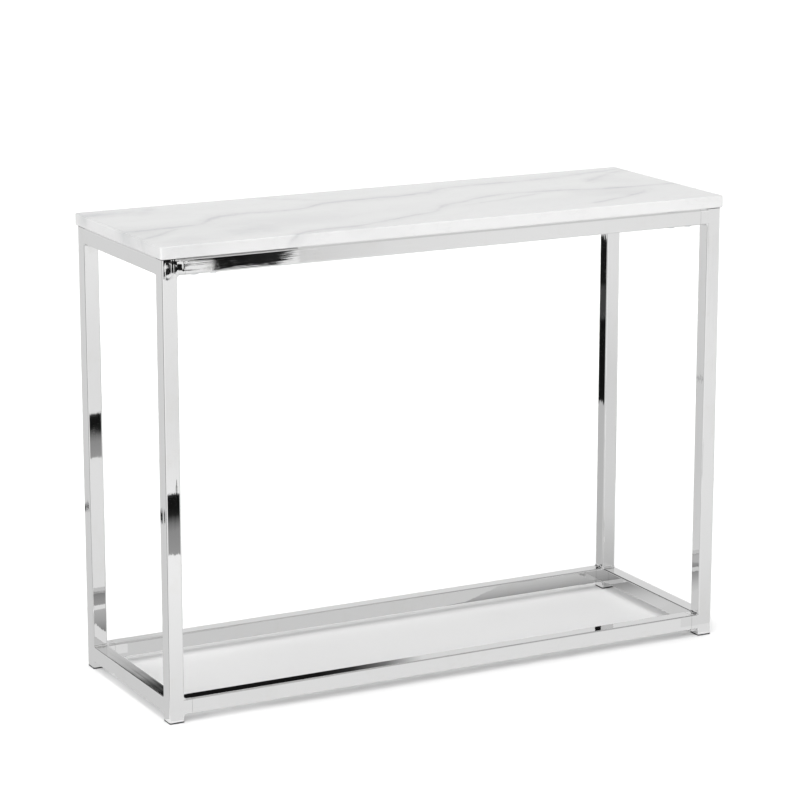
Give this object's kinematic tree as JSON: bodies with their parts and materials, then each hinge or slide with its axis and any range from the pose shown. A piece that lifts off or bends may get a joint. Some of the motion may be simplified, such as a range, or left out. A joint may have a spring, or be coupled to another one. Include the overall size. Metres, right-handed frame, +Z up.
{
  "type": "console table",
  "caption": "Narrow console table: a white marble-effect board on an open frame of chrome-plated square tube, with a matching rail frame just above the floor.",
  "frame": {"origin": "on the floor, under the middle of the table", "axes": "+X along the length, to the right as seen from the front; +Y to the back; +Z up"},
  "size_m": [1, 0.34, 0.75],
  "materials": {
    "marble_foil": "high-gloss white foil with soft grey marble veins",
    "fibreboard": "bare medium-density fibreboard",
    "white_sheet": "satin white backing sheet",
    "chrome_tube": "polished chrome plate",
    "chrome_weld": "chrome plate over dressed weld, slightly rippled",
    "plain_steel": "plain drawn steel tube, oiled",
    "zinc_steel": "bright zinc plate",
    "zinc_insert": "cast zinc alloy",
    "black_plastic": "moulded black polythene",
    "clear_pad": "soft translucent plastic"
  },
  "bodies": {
    "root": {"board_core": "fibreboard", "board_foil": "marble_foil", "board_backing": "white_sheet", "left_top_side_rail": "chrome_tube", "left_bottom_side_rail": "chrome_tube", "front_left_leg": "chrome_tube", "front_left_foot": "black_plastic", "front_left_leg_cap": "black_plastic", "front_left_top_stub": "chrome_tube", "front_left_top_sleeve": "plain_steel", "front_left_bottom_stub": "chrome_tube", "front_left_bottom_sleeve": "plain_steel", "back_left_leg": "chrome_tube", "back_left_foot": "black_plastic", "back_left_leg_cap": "black_plastic", "back_left_top_stub": "chrome_tube", "back_left_top_sleeve": "plain_steel", "back_left_bottom_stub": "chrome_tube", "back_left_bottom_sleeve": "plain_steel", "left_frame_welds": "chrome_weld", "right_top_side_rail": "chrome_tube", "right_bottom_side_rail": "chrome_tube", "front_right_leg": "chrome_tube", "front_right_foot": "black_plastic", "front_right_leg_cap": "black_plastic", "front_right_top_stub": "chrome_tube", "front_right_top_sleeve": "plain_steel", "front_right_bottom_stub": "chrome_tube", "front_right_bottom_sleeve": "plain_steel", "back_right_leg": "chrome_tube", "back_right_foot": "black_plastic", "back_right_leg_cap": "black_plastic", "back_right_top_stub": "chrome_tube", "back_right_top_sleeve": "plain_steel", "back_right_bottom_stub": "chrome_tube", "back_right_bottom_sleeve": "plain_steel", "right_frame_welds": "chrome_weld", "front_top_rail": "chrome_tube", "front_bottom_rail": "chrome_tube", "back_top_rail": "chrome_tube", "back_bottom_rail": "chrome_tube", "rail_bolts": "zinc_steel", "sleeve_nuts": "zinc_steel", "board_bolts": "zinc_steel", "board_inserts": "zinc_insert", "ring_pads": "clear_pad"}
  },
  "joints": []
}
